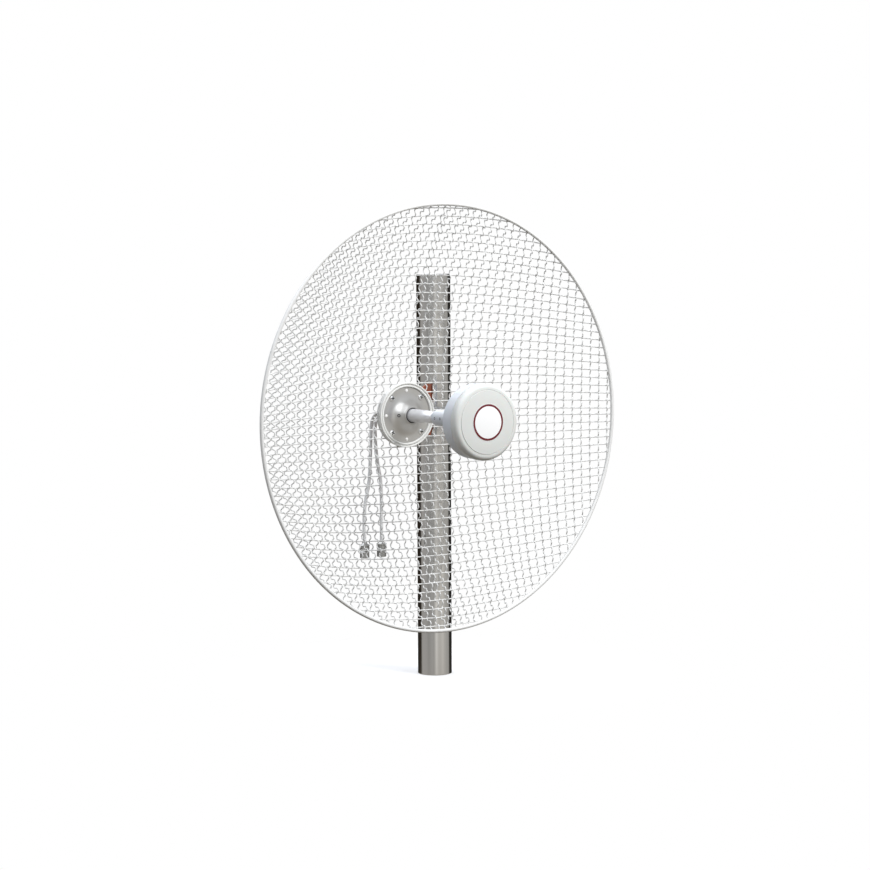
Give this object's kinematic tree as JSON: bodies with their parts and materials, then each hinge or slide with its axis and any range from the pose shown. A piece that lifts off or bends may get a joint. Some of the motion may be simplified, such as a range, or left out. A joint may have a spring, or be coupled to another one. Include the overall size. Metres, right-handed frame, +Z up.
{
  "type": "mesh parabolic dish antenna",
  "caption": "Round woven-mesh parabolic dish antenna with a white drum feed on a short arm and two hanging cable pigtails, clamped to a section of round steel mast.",
  "frame": {"origin": "middle of the flat closed lower end of the mast section", "axes": "+Z up along the mast, the dish faces -Y, the mast stands to the +X side of the dish axis"},
  "size_m": [0.904, 0.4865, 1.047],
  "materials": {
    "polished_steel": "polished",
    "white_coating": "satin",
    "cast_silver": "satin",
    "blue_white_plastic": "satin",
    "warm_white_plastic": "satin",
    "label_film": "satin",
    "red_brown_primer": "matt",
    "zinc_plate": "satin",
    "galvanised_casting": "matt",
    "black_rubber": "matt",
    "grey_sheath": "satin"
  },
  "bodies": {
    "root": {"mast_tube": "polished_steel", "rim_ring": "white_coating", "mesh_upper_left": "white_coating", "mesh_upper_right": "white_coating", "mesh_lower_left": "white_coating", "mesh_lower_right": "white_coating", "hub_front_ring": "white_coating", "hub_plate": "cast_silver", "hub_rear_plate": "white_coating", "hub_rear_housing": "cast_silver", "feed_arm_tube": "cast_silver", "feed_socket": "blue_white_plastic", "feed_back_cone": "blue_white_plastic", "radome_drum": "blue_white_plastic", "radome_cover": "warm_white_plastic", "label_disc": "label_film", "bracket_angle": "red_brown_primer", "gusset_upper": "red_brown_primer", "gusset_lower": "red_brown_primer", "clamp_saddle": "galvanised_casting", "clamp_strap": "galvanised_casting", "clamp_bolt_front_upper": "zinc_plate", "clamp_bolt_front_lower": "zinc_plate", "clamp_bolt_back_upper": "zinc_plate", "clamp_bolt_back_lower": "zinc_plate", "outlet_bush": "black_rubber", "cable_gland_left": "zinc_plate", "cable_gland_right": "zinc_plate", "cable_left": "grey_sheath", "cable_right": "grey_sheath", "connector_body_left": "zinc_plate", "connector_body_right": "zinc_plate", "connector_sleeve_left": "zinc_plate", "connector_sleeve_right": "zinc_plate"}
  },
  "joints": []
}
